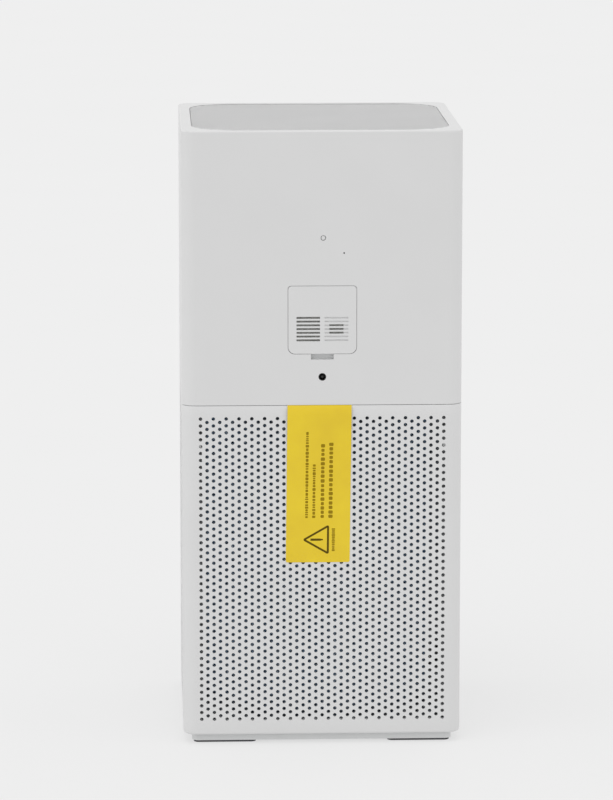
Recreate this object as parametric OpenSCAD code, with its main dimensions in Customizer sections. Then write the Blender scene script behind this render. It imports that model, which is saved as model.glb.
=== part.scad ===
// Tower air purifier: a square housing on a recessed plinth. Air enters through the lower shell and
// the rear filter door, passes a drum filter, is drawn up by a radial fan and leaves at the top.
// Millimetres. The origin is the centre of the footprint on the floor, +Z is up, and -Y is the rear,
// with the filter door, the sensor cover and the power socket. The display is on the +Y side.

/* [Housing] */
// Width and depth of the square housing
body_w = 240; // [238:1:250]
// Overall height on its feet
body_h = 533.5; // [530:0.5:550]
// Radius of the upright corners
corner_r = 12; // [11:0.5:14]
// Thickness of the moulded shells
wall = 2.4; // [2.2:0.1:2.6]
// Height of the seam between the intake section and the upper housing
seam_z = 298; // [297:1:300]
// Width of the open seams between shells
seam_gap = 0.3; // [0.3:0.1:0.6]
// Height of the shells' lower edge above the floor
shell_z = 8.2; // [7.4:0.2:10]

/* [Air outlet] */
// Width of the square outlet opening
outlet_w = 221; // [216:1:222]
// Corner radius of the outlet opening
outlet_r = 38; // [30:1:42]
// Spacing of the outlet slats
slat_pitch = 7.8; // [7:0.1:9]

/* [Rear fittings] */
// Side of the square sensor cover
cover_w = 58.4; // [56:0.1:59]
// Height of the sensor cover's centre
cover_z = 371.7; // [368:0.1:376]
// Height of the brightness button
button_z = 442.2; // [436:0.1:450]
// Travel of the brightness button
button_travel = 0.8; // [0.5:0.1:1]
// Height of the power socket
jack_z = 322.5; // [318:0.5:326]

/* [Filter] */
// Outer diameter of the filter drum
filter_d = 198; // [190:1:200]
// Diameter of the filter's air passage
filter_core_d = 104; // [96:1:108]

/* [Fan] */
// Outer diameter of the impeller
impeller_d = 168; // [160:1:172]
// Number of impeller blades
blade_count = 9; // [7:1:11]
// Number of fixed guide vanes, prime to the blades
vane_count = 11; // [11:2:13]

/* [Hidden] */
$fn = 64;

half = body_w / 2;
inner = half - wall;            // inside face of the shells
fit = 0.3;                      // gap between nested fixed mouldings
tuck = inner - fit;             // outside face of what is nested in the shells
tuck_r = corner_r - wall - fit; // and its corner radius

// Base
plinth_inset = 7.4;
plinth_r = corner_r - 6;
foot_h = 1.9;
foot_w = 54;
foot_d = 34;
foot_margin = 1.5;              // how far the feet stand inside the plinth's sides
foot_x = half - plinth_inset - foot_margin - foot_w / 2;
foot_y = half - plinth_inset - foot_margin - foot_d / 2;
floor_low = 12.5;               // underside of the compartment floor
floor_t = 3;
floor_z = floor_low + floor_t;
rib_pitch = 44;
boss_r = 4.6;
screw_r = 1.75;
screw_hole_r = 1.8;
boss_front = half - 15;         // front bosses, in x and y
boss_rear_x = half - 14;        // rear bosses, on the posts
boss_rear_y = -half + 19;
bosses = [for (s = [-1, 1]) each [[s * boss_front, boss_front], [s * boss_rear_x, boss_rear_y]]];

// Filter door
door_wrap = 13;                 // how far the door wraps round the sides
door_top = seam_z - seam_gap / 2;
door_frame_back = -half + wall + 7;
post_face = door_frame_back + 0.4;
post_x = filter_d / 2 + 4;      // inner side of the posts, clear of the filter
post_end = tuck - 0.4;          // and their outer side, clear of the door's rounded corners
rail = 9;                       // width of the door frame's rails
tab_w = 6;                      // locating tabs of the door, which enter windows in the posts
tab_h = 4;
tab_z = 48;
finger_w = 46;
finger_h = 20;
finger_depth = 6;
magnet_r = 4;
magnet_t = 3;
magnet_x = half - 10.8;
magnet_z = 262;

// Deck and fan, upwards from the filter
deck_z = 290;
deck_t = 3;
deck_top = deck_z + deck_t;
inlet_r = 60;
impeller_z = 306;               // lower face of the impeller's shroud
blade_h = 37.5;
shroud_t = 2.5;
hub_disc_z = impeller_z + shroud_t + blade_h;
motor_z = 353;                  // lower face of the motor
motor_h = 34;
motor_r = 40;
shaft_r = 4;
bearing_gap = 0.05;             // radial running clearance of the shaft
bearing_r = 11;
casing_r = 98;
casing_t = 2;
casing_top = 400;
diffuser_hub_r = 48;

// Outlet
lip_t = 3;                      // thickness of the housing's top face
grille_h = 9.5;
rib_drop = 2;                   // how far the grille's ribs and frame lie below its slats
ledge_t = 2.5;

// Rear fittings
cover_t = 2;
cover_gap = 0.3;
louvre_pitch = 3.23;
louvre_count = 7;
louvre_z = cover_z - 7.8;       // centre of both louvre groups
louvre_w = 20;
louvre_h = 1.7;
louvre_x = 12.05;
bay_w = 66;
bay_depth = 17;
notch_w = 19.4;
notch_h = 5;                    // depth of the finger notch below the cover
cover_bottom = cover_z - cover_w / 2;
button_x = 0.8;
button_r = 1.95;
button_hole_r = 2.25;
button_len = 4.6;
button_face = -half + 0.2;
switch_h = 1.4;
button_board_y = button_face + button_len + button_travel + 0.3 + switch_h;
pinhole_x = 18.5;
pinhole_z = button_z - 13;
board_t = 1.6;
board_x = -108;                 // left edge and rear face of the main board
board_y = -111;
board_holes = [for (x = [4, 54], z = [316, 400]) [board_x + x, z]];

// Filter
filter_z = floor_z + 0.5;
filter_cap_h = 9;
filter_top = deck_z - 5.6;
media_out = filter_d / 2 - 4;
media_in = filter_core_d / 2 + 7;
pleats = 60;

// Display
display_z = 452;
display_r = 29;
key_z = 402;
key_r = 8;

// ---------- shared shapes ----------

// Rounded rectangle centred on the origin
module rounded_rect(w, d, r) {
  square([w, d - 2 * r], center = true);
  square([w - 2 * r, d], center = true);
  for (x = [-1, 1], y = [-1, 1])
    translate([x * (w / 2 - r), y * (d / 2 - r)]) circle(r);
}

// Square ring with rounded corners, t thick
module square_ring(w, r, t) {
  difference() {
    rounded_rect(w, w, r);
    rounded_rect(w - 2 * t, w - 2 * t, r - t);
  }
}

// Round ring lying at height z
module ring(r_out, r_in, z, h) {
  translate([0, 0, z]) linear_extrude(h) difference() {
    circle(r_out);
    circle(r_in);
  }
}

// Upright rod or hole
module rod(x, y, z, r, h) {
  translate([x, y, z]) cylinder(r = r, h = h);
}

// Axis turned to point along +Y, starting at the given place
module along_y(x, y, z) {
  translate([x, y, z]) rotate([-90, 0, 0]) children();
}

// A flat outline in X and Z, raised by t towards the rear from the plane y
module facing_rear(y, z, t) {
  translate([0, y, z]) rotate([90, 0, 0]) linear_extrude(t) children();
}

// The four screws of a joint, heads down or up
module screws(places, z_head, head_h, z_tip) {
  for (p = places) {
    rod(p[0], p[1], z_head, 3.2, head_h);
    if (z_tip > z_head) rod(p[0], p[1], z_head + head_h, screw_r, z_tip - z_head - head_h);
    else rod(p[0], p[1], z_tip, screw_r, z_head - z_tip);
  }
}

// Direction of a route at point i
function heading(p, i) =
  let (v = p[min(i + 1, len(p) - 1)] - p[max(i - 1, 0)]) v / norm(v);

// The part of v square to direction t, as a unit vector
function square_to(v, t) =
  let (u = v - (v * t) * t) u / norm(u);

// One side direction for each point of a route, carried along without twist
function side_directions(p, i = 0, last = [0.3, 0.5, 0.8]) =
  i >= len(p) ? [] :
  let (s = square_to(last, heading(p, i))) concat([s], side_directions(p, i + 1, s));

// A round cable of diameter d along a route
module cable(route, d, sides = 8) {
  dirs = side_directions(route);
  n = len(route);
  points = [for (i = [0:n - 1], k = [0:sides - 1])
    let (t = heading(route, i), a = 360 * k / sides)
    route[i] + d / 2 * (cos(a) * dirs[i] + sin(a) * cross(t, dirs[i]))];
  faces = concat(
    [[for (k = [0:sides - 1]) k]],
    [for (i = [0:n - 2], k = [0:sides - 1])
      [i * sides + k, (i + 1) * sides + k, (i + 1) * sides + (k + 1) % sides, i * sides + (k + 1) % sides]],
    [[for (k = [sides - 1:-1:0]) (n - 1) * sides + k]]);
  polyhedron(points, faces, convexity = 4);
}

// ---------- base ----------

// Plinth moulding: compartment floor on a recessed, ribbed skirt
module base_plate() color("gainsboro") {
  plinth_w = body_w - 2 * plinth_inset;
  skirt_h = floor_low - foot_h;
  difference() {
    union() {
      translate([0, 0, floor_low]) linear_extrude(floor_t) rounded_rect(2 * tuck, 2 * tuck, tuck_r);
      translate([0, 0, foot_h]) linear_extrude(skirt_h) {
        square_ring(plinth_w, plinth_r, 2.6);
        intersection() {
          rounded_rect(plinth_w - 5, plinth_w - 5, plinth_r - 2.6);
          union() {
            for (i = [-2:2]) {
              translate([i * rib_pitch, 0]) square([2, body_w], center = true);
              translate([0, i * rib_pitch]) square([body_w, 2], center = true);
            }
            for (x = [-1, 1], y = [-1, 1])
              translate([x * foot_x, y * foot_y]) rounded_rect(foot_w + 4, foot_d + 4, 8);
            for (p = bosses) translate([p[0], p[1]]) circle(boss_r + 1);
          }
        }
      }
      // rails that guide the filter in from the rear, and the stop at its far end
      for (s = [-1, 1])
        translate([s * (filter_d / 2 + 3), 0, floor_z + 2]) cube([3, 150, 4], center = true);
      translate([0, filter_d / 2 + 3, floor_z + 2]) cube([90, 3, 4], center = true);
    }
    for (p = bosses) rod(p[0], p[1], foot_h - 1, screw_hole_r, 20);
    for (p = bosses) rod(p[0], p[1], foot_h - 1, 3.6, 5);
  }
}

module rubber_feet() color("dimgray") {
  for (x = [-1, 1], y = [-1, 1])
    translate([x * foot_x, y * foot_y, 0]) linear_extrude(foot_h) rounded_rect(foot_w, foot_d, 4.5);
}

module base_screws() color("silver") screws(bosses, foot_h + 1.6, 2.4, floor_z + 14);

// ---------- intake section ----------

// Front and sides of the intake section, open at the rear
module lower_shell() color("white") {
  h = door_top - shell_z;
  difference() {
    union() {
      translate([0, 0, shell_z]) linear_extrude(h) square_ring(body_w, corner_r, wall);
      for (x = [-1, 1]) for (z = [floor_z, deck_z - 24])
        translate([0, 0, z]) linear_extrude(24) intersection() {
          union() {
            translate([x * boss_front, boss_front]) circle(boss_r);
            translate([x * (boss_front + 5), boss_front + 5]) rotate(45 * x) square([15, 3], center = true);
          }
          rounded_rect(2 * inner + 1, 2 * inner + 1, corner_r - wall + 0.5);
        }
    }
    translate([-half - 1, -half - 1, shell_z - 1]) cube([body_w + 2, door_wrap + 1, h + 2]);
    for (x = [-1, 1]) rod(x * boss_front, boss_front, floor_z - 1, screw_r, 20);
    for (x = [-1, 1]) rod(x * boss_front, boss_front, deck_z - 20, screw_r, 21);
  }
}

// Upright post beside the rear opening, with a screw boss at each end, a window for the door's tab
// and a pocket for the striker
module post(side) {
  depth = 16;
  plate = 2.4;
  difference() {
    union() {
      translate([side > 0 ? post_x : -post_end, post_face, floor_z])
        cube([post_end - post_x, plate, deck_z - floor_z]);
      translate([side > 0 ? post_x : -post_x - plate, post_face, floor_z])
        cube([plate, depth, deck_z - floor_z]);
      for (z = [floor_z, deck_z - 24]) rod(side * boss_rear_x, boss_rear_y, z, boss_r, 24);
    }
    rod(side * boss_rear_x, boss_rear_y, floor_z - 1, screw_r, 20);
    rod(side * boss_rear_x, boss_rear_y, deck_z - 20, screw_r, 21);
    along_y(side * magnet_x, post_face - 1, magnet_z) cylinder(r = magnet_r, h = 2.5);
    translate([side * magnet_x - tab_w / 2 - 0.4, post_face - 1, tab_z - 0.4])
      cube([tab_w + 0.8, plate + 2, tab_h + 0.8]);
  }
}

module left_post() color("whitesmoke") post(-1);

module right_post() color("whitesmoke") post(1);

// Steel discs in the posts that the door's magnets hold on to
module door_strikers() color("silver") {
  for (s = [-1, 1]) along_y(s * magnet_x, post_face, magnet_z) cylinder(r = magnet_r - 0.1, h = 1.5);
}

// ---------- fan section ----------

// Partition above the filter, which carries the fan
module fan_deck() color("whitesmoke") {
  difference() {
    union() {
      translate([0, 0, deck_z]) linear_extrude(deck_t) rounded_rect(2 * tuck, 2 * tuck, tuck_r);
      translate([0, 0, deck_top]) linear_extrude(13) square_ring(2 * tuck, tuck_r, 3);
    }
    rod(0, 0, deck_z - 1, inlet_r, 10);
    for (p = bosses) rod(p[0], p[1], deck_z - 1, screw_hole_r, 10);
    // rebate that the top of the door closes into
    translate([-half, post_face - 20, deck_z - 1]) cube([body_w, 20, door_top + 0.8 - deck_z + 1]);
  }
}

module deck_screws() color("silver") {
  screws(bosses, deck_top, 2.2, deck_z - 14);
}

// Finger guard over the fan's inlet
module inlet_guard() color("whitesmoke") {
  translate([0, 0, deck_top]) linear_extrude(2) {
    difference() { circle(inlet_r + 7); circle(inlet_r - 1); }
    for (r = [16, 30, 44]) difference() { circle(r); circle(r - 1.6); }
    circle(5);
    for (i = [0:5]) rotate(60 * i) translate([0, -0.9]) square([inlet_r, 1.8]);
  }
}

// Bell mouth that leads the air into the impeller's eye
module inlet_ring() color("white") {
  z = deck_top + 2;
  translate([0, 0, z]) rotate_extrude()
    difference() {
      union() {
        translate([inlet_r - 1, 0]) square([8, 2]);
        translate([inlet_r - 1, 0]) square([2.2, 8.5]);
        translate([inlet_r + 1.2, 2]) square([2, 2]);
      }
      translate([inlet_r + 3.2, 4]) circle(2, $fn = 32);
    }
}

module casing_seal() color("dimgray") ring(casing_r + 8, casing_r - 4, deck_top, 1.5);

// Round duct round the impeller
module fan_casing() color("white") {
  z = deck_top + 1.5;
  ring(casing_r + 8, casing_r - casing_t, z, 3);
  ring(casing_r, casing_r - casing_t, z + 3, casing_top - z - 3);
}

// A curved blade between two radii: part of a thin ring whose centre lies off the axis
module blade(r_in, r_out, bend_r, t) {
  intersection() {
    difference() { circle(r_out); circle(r_in); }
    translate([bend_r * 0.92, bend_r * 0.62]) difference() { circle(bend_r); circle(bend_r - t); }
    translate([0, -r_out / 2]) square([r_out + 1, r_out]);
  }
}

// Motor carrier: hub, guide vanes and outer ring in one moulding
module diffuser() color("whitesmoke") {
  ring_r = casing_r - casing_t - 0.2;
  z = motor_z + 5;
  hub_top = motor_z + motor_h;
  difference() {
    union() {
      ring(ring_r, ring_r - 2, z, casing_top - z - 2);
      ring(diffuser_hub_r, diffuser_hub_r - 2, z, hub_top - z);
      rod(0, 0, hub_top, diffuser_hub_r, 3);
      translate([0, 0, z]) linear_extrude(hub_top + 3 - z)
        for (i = [0:vane_count - 1]) rotate(360 / vane_count * i)
          blade(diffuser_hub_r - 0.5, ring_r - 1, 62, 2);
    }
    for (a = [45:90:315]) rod(32 * cos(a), 32 * sin(a), hub_top - 1, screw_hole_r, 6);
    rod(0, 0, hub_top - 1, 9, 6);
  }
}

module flow_cone() color("white") {
  z = motor_z + motor_h + 3;
  r = diffuser_hub_r - 1;
  translate([0, 0, z]) rotate_extrude()
    polygon([[r - 2, 0], [r, 0], [r - 1, 8], [r - 8, 22], [r - 22, 32], [0, 37], [0, 35], [r - 23, 30.2],
      [r - 9.8, 20.6], [r - 3, 7.6]]);
}

// ---------- motor ----------

// Section of a motor end: plate, bearing pocket and lip, with its outside face at height 0
module motor_end(plate_r) {
  difference() {
    union() {
      cylinder(r = plate_r, h = 3);
      cylinder(r = bearing_r + 3, h = 8);
    }
    translate([0, 0, 1]) cylinder(r = bearing_r, h = 8);
    translate([0, 0, -1]) cylinder(r = bearing_r - 4, h = 5);
  }
}

module motor_housing() color("darkgray") {
  translate([0, 0, motor_z]) motor_end(motor_r);
  ring(motor_r, motor_r - 3, motor_z + 3, motor_h - 6);
}

module motor_end_cap() color("darkgray") {
  difference() {
    translate([0, 0, motor_z + motor_h]) mirror([0, 0, 1]) motor_end(motor_r);
    for (a = [45:90:315]) rod(32 * cos(a), 32 * sin(a), motor_z + motor_h - 4, screw_r, 6);
  }
}

module motor_bearings() color("silver") {
  for (z = [motor_z + 1, motor_z + motor_h - 8]) ring(bearing_r, shaft_r + bearing_gap, z, 7);
}

// Laminated stator with slots for its coils
module stator_core() color("saddlebrown") {
  translate([0, 0, motor_z + 10]) linear_extrude(14) difference() {
    circle(motor_r - 3);
    circle(25);
    for (i = [0:11]) rotate(30 * i) translate([27, -3]) square([7, 6]);
  }
}

module rotor_magnet() color("dimgray") ring(24.2, shaft_r, motor_z + 9.5, 15);

module motor_screws() color("silver") {
  places = [for (a = [45:90:315]) [32 * cos(a), 32 * sin(a)]];
  screws(places, motor_z + motor_h + 3, 2.2, motor_z + motor_h - 3);
}

module motor_shaft() color("silver") {
  rod(0, 0, hub_disc_z - 15, shaft_r, motor_z + motor_h + 4 - hub_disc_z + 15);
}

// Backward-curved radial impeller
module impeller() color("lightslategray") {
  r = impeller_d / 2;
  eye = inlet_r + 3.6;
  difference() {
    union() {
      ring(eye + 2, eye, impeller_z - 5, 5);
      ring(r, eye, impeller_z, shroud_t);
      translate([0, 0, impeller_z + shroud_t - 0.2]) linear_extrude(blade_h + 0.4)
        for (i = [0:blade_count - 1]) rotate(360 / blade_count * i) blade(eye + 0.5, r - 0.5, 56, 2);
      rod(0, 0, hub_disc_z, r, 2.5);
      rod(0, 0, hub_disc_z - 8, 14, 12);
    }
    rod(0, 0, hub_disc_z - 20, shaft_r, 40);
  }
}

module impeller_nut() color("silver") {
  difference() {
    translate([0, 0, hub_disc_z - 14]) cylinder(r = 7.5, h = 6, $fn = 6);
    rod(0, 0, hub_disc_z - 15, shaft_r, 8);
  }
}

// ---------- upper housing ----------

// Smooth square sleeve with the outlet lip on top
module upper_housing() color("white") {
  z0 = seam_z + seam_gap / 2;
  difference() {
    union() {
      translate([0, 0, z0]) linear_extrude(body_h - lip_t - z0) square_ring(body_w, corner_r, wall);
      translate([0, 0, body_h - lip_t]) linear_extrude(lip_t) difference() {
        rounded_rect(body_w, body_w, corner_r);
        rounded_rect(outlet_w, outlet_w, outlet_r);
      }
      // skirt below the lip, and the ledge that the outlet grille rests on
      translate([0, 0, body_h - grille_h - lip_t]) linear_extrude(grille_h)
        square_ring(outlet_w + 3.6, outlet_r + 1.8, 1.8);
      translate([0, 0, body_h - grille_h - lip_t]) linear_extrude(ledge_t)
        square_ring(outlet_w + 3.6, outlet_r + 1.8, 6);
    }
    // window of the sensor cover
    facing_rear(-half + 4, cover_z, 6) sensor_outline(cover_w + 2 * cover_gap);
    translate([-notch_w / 2, -half - 1, cover_bottom - notch_h]) cube([notch_w, 6, notch_h]);
    along_y(button_x, -half - 1, button_z) cylinder(r = button_hole_r, h = 6, $fn = 32);
    along_y(pinhole_x, -half - 1, pinhole_z) cylinder(r = 0.7, h = 6, $fn = 24);
    along_y(0, -half - 1, jack_z) cylinder(r = 3.3, h = 6, $fn = 48);
    // windows of the display and the touch key
    along_y(0, half - 5, display_z) cylinder(r = display_r, h = 8);
    along_y(0, half - 5, key_z) cylinder(r = key_r, h = 8);
  }
}

// Slatted grille over the outlet
module outlet_grille() color("lightgray") {
  w = outlet_w - 2 * fit;
  r = outlet_r - fit;
  z = body_h - grille_h - lip_t + ledge_t;
  count = floor((w - 8) / 2 / slat_pitch);
  h = body_h - 0.3 - z;
  translate([0, 0, z]) linear_extrude(h - rib_drop) {
    square_ring(w, r, 2.2);
    intersection() {
      rounded_rect(w - 3, w - 3, r - 1.5);
      for (x = [-72, -24, 24, 72]) translate([x, 0]) square([1.6, w], center = true);
    }
  }
  translate([0, 0, z]) linear_extrude(h) intersection() {
    rounded_rect(w - 0.4, w - 0.4, r - 0.2);
    for (i = [-count:count]) translate([0, i * slat_pitch]) square([w, 1.6], center = true);
  }
}

// ---------- rear fittings ----------

// Square with small upper and larger lower corner radii
module sensor_outline(w, r_top = 3, r_low = 6) {
  translate([0, (r_low - r_top) / 2]) square([w, w - r_low - r_top], center = true);
  translate([0, (r_low - w) / 2]) square([w - 2 * r_low, r_low], center = true);
  translate([0, (w - r_top) / 2]) square([w - 2 * r_top, r_top], center = true);
  for (side = [-1, 1]) {
    translate([side * (w / 2 - r_low), r_low - w / 2]) circle(r_low);
    translate([side * (w / 2 - r_top), w / 2 - r_top]) circle(r_top);
  }
}

// Tray behind the sensor cover, with the pocket of the finger notch below it
module sensor_bay() color("whitesmoke") {
  y = -inner;
  difference() {
    union() {
      translate([-bay_w / 2, y, cover_z - bay_w / 2]) cube([bay_w, bay_depth, bay_w]);
      translate([-notch_w / 2 - 3, y, cover_bottom - 9]) cube([notch_w + 6, 5, 8]);
    }
    translate([-27, y - 1, cover_z - 27]) cube([54, bay_depth, 54]);
    translate([-notch_w / 2, y - 1, cover_bottom - notch_h]) cube([notch_w, 2.4, notch_h]);
    // passage of the sensors' cable
    translate([-bay_w / 2 - 1, -109, cover_z + 16.3]) cube([8, 6, 8]);
  }
}

module sensor_cover() color("white") {
  difference() {
    union() {
      facing_rear(-half + cover_t, cover_z, cover_t) sensor_outline(cover_w);
      for (x = [-18, 18]) translate([x - 4, -half + cover_t, cover_z + 24.9]) cube([8, 6, 1.6]);
      translate([-5, -half + cover_t, cover_z - 26.5]) cube([10, 6, 1.6]);
    }
    for (i = [0:louvre_count - 1]) {
      z = louvre_z + (i - (louvre_count - 1) / 2) * louvre_pitch;
      through = i > 1 && i < louvre_count - 2;
      translate([-louvre_x - louvre_w / 2, -half - 1, z - louvre_h / 2]) cube([louvre_w, 4, louvre_h]);
      translate([louvre_x - louvre_w / 2, -half - 1, z - 0.6]) cube([louvre_w, 1.9, 1.2]);
      if (through) translate([louvre_x - 6, -half - 1, z - louvre_h / 2]) cube([12, 4, louvre_h]);
    }
  }
}

module sensor_dust_foam() color("dimgray")
  translate([-louvre_x - 12, -half + cover_t, louvre_z - 13]) cube([2 * louvre_x + 20, 3, 26]);

module particle_sensor() color("dimgray") {
  difference() {
    translate([1, -inner + 4, cover_z - 22]) cube([25, bay_depth - 5, 40]);
    along_y(louvre_x, -inner + 3, louvre_z) cylinder(r = 4, h = 7);
  }
}

module humidity_sensor() color("seagreen") {
  back = -inner + bay_depth - 1;
  translate([-20, back - 1.2, louvre_z - 8]) cube([16, 1.2, 16]);
  translate([-14, back - 2.8, louvre_z - 2]) cube([4, 1.6, 4]);
}

module brightness_button() color("white") {
  along_y(button_x, button_face, button_z) cylinder(r = button_r, h = button_len, $fn = 32);
  along_y(button_x, -inner + 1.2, button_z) cylinder(r = 4, h = 1.2, $fn = 32);
}

// Board behind the button, with the switch it presses and the small reset switch beside it
module button_board() color("seagreen") {
  difference() {
    translate([-9, button_board_y, button_z - 20]) cube([34, board_t, 28]);
    for (x = [-6, 22]) along_y(x, button_board_y - 1, button_z + 5) cylinder(r = screw_hole_r, h = 4);
  }
  translate([button_x - 3, button_board_y - switch_h, button_z - 3]) cube([6, switch_h, 6]);
  translate([16, button_board_y - switch_h, pinhole_z - 2.5]) cube([5, switch_h, 5]);
}

// Round power socket with its centre pin
module dc_jack() color("black") {
  y = -inner + 0.1;
  difference() {
    union() {
      translate([-5, y, jack_z - 5.5]) cube([10, 12, 11]);
      along_y(0, -half + 0.4, jack_z) cylinder(r = 3.25, h = 3, $fn = 48);
    }
    along_y(0, -half - 1, jack_z) cylinder(r = 2.75, h = 11, $fn = 48);
  }
  along_y(0, -half + 1.6, jack_z) cylinder(r = 1, h = 10, $fn = 32);
}

module main_board() color("seagreen") {
  difference() {
    translate([board_x, board_y, 312]) cube([58, board_t, 92]);
    for (p = board_holes) along_y(p[0], board_y - 1, p[1]) cylinder(r = screw_hole_r, h = 4);
  }
}

// Capacitors, coil, heat sink and connectors of the main board
module board_parts() color("dimgray") {
  y = board_y + board_t;
  for (x = [8, 22]) along_y(board_x + x, y, 330) cylinder(r = 6, h = 14);
  along_y(board_x + 40, y, 332) cylinder(r = 9, h = 9);
  translate([board_x + 6, y, 352]) cube([24, 10, 16]);
  translate([board_x + 38, y, 352]) cube([14, 1.2, 14]);
  for (z = [376, 388]) translate([board_x + 32, y, z]) cube([18, 6, 8]);
}

// Standoffs on the rear wall and the screws that hold the two rear boards to them
module board_screws() color("silver") {
  for (p = board_holes) board_screw(p[0], p[1], board_y);
  for (x = [-6, 22]) board_screw(x, button_z + 5, button_board_y);
}

module board_screw(x, z, y) {
  along_y(x, -inner, z) cylinder(r = 2.5, h = inner + y);
  along_y(x, y, z) cylinder(r = 1.7, h = board_t);
  along_y(x, y + board_t, z) cylinder(r = 2.8, h = 1.8);
}

// ---------- front fittings ----------

module display_lens() color("black") {
  along_y(0, inner - 0.5, display_z) cylinder(r = display_r - 0.25, h = wall + 0.4);
  along_y(0, inner - 1.1, display_z) cylinder(r = display_r + 4, h = 1.1);
}

module touch_key() color("white") {
  along_y(0, inner - 0.5, key_z) cylinder(r = key_r - 0.2, h = wall + 0.4);
  along_y(0, inner - 1.1, key_z) cylinder(r = key_r + 3, h = 1.1);
}

module display_board() color("seagreen") {
  translate([-34, inner - 8, key_z - 14]) cube([68, 1.6, display_z - key_z + 48]);
  along_y(0, inner - 6.4, display_z) difference() {
    cylinder(r = 26, h = 4.6);
    translate([0, 0, -1]) cylinder(r = 22, h = 8);
  }
}

// ---------- wiring inside the housing ----------

module power_harness() color("black") {
  cable([[0, -105.5, 322.5], [0, -103.5, 322.5], [-5, -101.6, 323.4], [-14, -101.6, 325.5], [-26, -102, 329],
    [-36, -103, 335], [-43, -104, 346], [-46, -105, 358], [-49, -106, 369], [-52, -106, 377],
    [-56, -106, 380], [-58, -106, 380]], 2.4);
}

module sensor_harness() color("white") {
  cable([[-24, -106, 392], [-30, -106, 392], [-38, -106, 392], [-46, -106, 392], [-58, -106, 392]], 2);
}

module display_harness() color("lightgray") {
  cable([[-67, -106, 396], [-67, -106, 401], [-72, -107, 410], [-84, -108, 416], [-96, -108, 420],
    [-106, -106, 424], [-111, -98, 426], [-113, -80, 427], [-113, -40, 428], [-113, 0, 428],
    [-113, 40, 428], [-113, 80, 428], [-111, 98, 428], [-104, 107, 428], [-90, 110, 428],
    [-70, 110.4, 428], [-50, 110.4, 428], [-34, 110.4, 428]], 2.6);
}

// ---------- filter door ----------

// Outer panel of the door, which wraps both rear corners
module door_panel() color("white") {
  z0 = shell_z + 0.3;
  difference() {
    translate([0, 0, z0]) linear_extrude(door_top - 0.1 - z0) square_ring(body_w, corner_r, wall);
    translate([-half - 1, -half + door_wrap - 0.4, 0]) cube([body_w + 2, body_w, body_h]);
    translate([-finger_w / 2, -half - 1, door_top - finger_h]) cube([finger_w, wall + 2, finger_h + 1]);
  }
}

// Stiffening frame behind the panel, with the finger cup at its top and a locating tab on each side
module door_frame() color("whitesmoke") {
  y0 = -half + wall;
  depth = door_frame_back - y0;
  x = tuck - 2;
  z0 = floor_z + 2;
  z1 = door_top - 2;
  difference() {
    union() {
      translate([0, 0, z0]) linear_extrude(z1 - z0) intersection() {
        rounded_rect(2 * inner, 2 * inner, corner_r - wall);
        translate([-x, y0 - 1]) square([2 * x, depth + 1]);
      }
      for (s = [-1, 1])
        translate([s * magnet_x - tab_w / 2, door_frame_back - 1, tab_z]) cube([tab_w, 4.6, tab_h]);
    }
    difference() {
      translate([-x + rail, y0 - 1, z0 + 4]) cube([2 * (x - rail), depth + 2, z1 - z0 - 10]);
      for (s = [-1, 1]) along_y(s * magnet_x, y0 - 1, magnet_z) cylinder(r = magnet_r + 1.5, h = depth + 2);
      translate([-finger_w / 2 - 2, y0, door_top - finger_h - 2]) cube([finger_w + 4, depth, finger_h]);
    }
    translate([-finger_w / 2, y0 - 1, door_top - finger_h]) cube([finger_w, finger_depth, finger_h + 4]);
    for (s = [-1, 1]) along_y(s * magnet_x, door_frame_back - magnet_t, magnet_z)
      cylinder(r = magnet_r + 0.1, h = magnet_t + 1);
  }
}

module door_magnets() color("silver") {
  for (s = [-1, 1]) along_y(s * magnet_x, door_frame_back - magnet_t, magnet_z)
    cylinder(r = magnet_r, h = magnet_t - 0.1);
}

// How far the film stands off the panel, as a share of its bow, at the distance d below the seam
function lift(d) = let (q = d / 10) q * exp(1 - q);

// Printed film tag hung over the door's top edge: it bows out of the seam and lies on the panel
module filter_notice_tag() color("gold") {
  film = 0.2;
  top = door_top - 0.1;
  length = 137;
  bow = 1.6;
  steps = 20;
  back = [for (i = [0:steps]) let (d = length * pow(i / steps, 2)) [-half - 0.05 - bow * lift(d), top - d]];
  front = [for (i = [steps:-1:0]) back[i] - [film, 0]];
  flap = [[-half - film, top + film + 0.02], [-inner, top + film + 0.02], [-inner, top + 0.02],
    [-half, top + 0.02]];
  translate([-2.7 - 28, 0, 0]) rotate([90, 0, 90]) linear_extrude(56) polygon(concat(back, front, flap));
}

// ---------- filter ----------

// Pleated paper folded between two radii
module filter_media() color("ghostwhite") {
  points = [for (i = [0:2 * pleats - 1]) let (a = 180 * i / pleats, r = i % 2 == 0 ? media_out : media_in + 3)
    [r * cos(a), r * sin(a)]];
  hollow = [for (i = [0:2 * pleats - 1]) let (a = 180 * i / pleats, r = i % 2 == 0 ? media_out - 3 : media_in)
    [r * cos(a), r * sin(a)]];
  translate([0, 0, filter_z + 3]) linear_extrude(filter_top - filter_z - 6)
    difference() {
      polygon(points);
      polygon(hollow);
    }
}

module filter_bottom_cap() color("dimgray") {
  rod(0, 0, filter_z, filter_d / 2, 3);
  ring(filter_d / 2, filter_d / 2 - 1.5, filter_z + 3, filter_cap_h - 3);
}

module filter_top_cap() color("dimgray") {
  z = filter_top - filter_cap_h;
  ring(filter_d / 2, filter_core_d / 2, filter_top - 3, 3);
  ring(filter_d / 2, filter_d / 2 - 1.5, z, filter_cap_h - 3);
}

// Coarse outer screen round the pleats
module filter_outer_mesh() color("gray")
  ring(filter_d / 2 - 1.6, filter_d / 2 - 2.8, filter_z + 3, filter_top - filter_z - 6);

module filter_carbon_core() color("dimgray")
  ring(filter_core_d / 2 + 6, filter_core_d / 2, filter_z + 3, filter_top - filter_z - 6);

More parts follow.
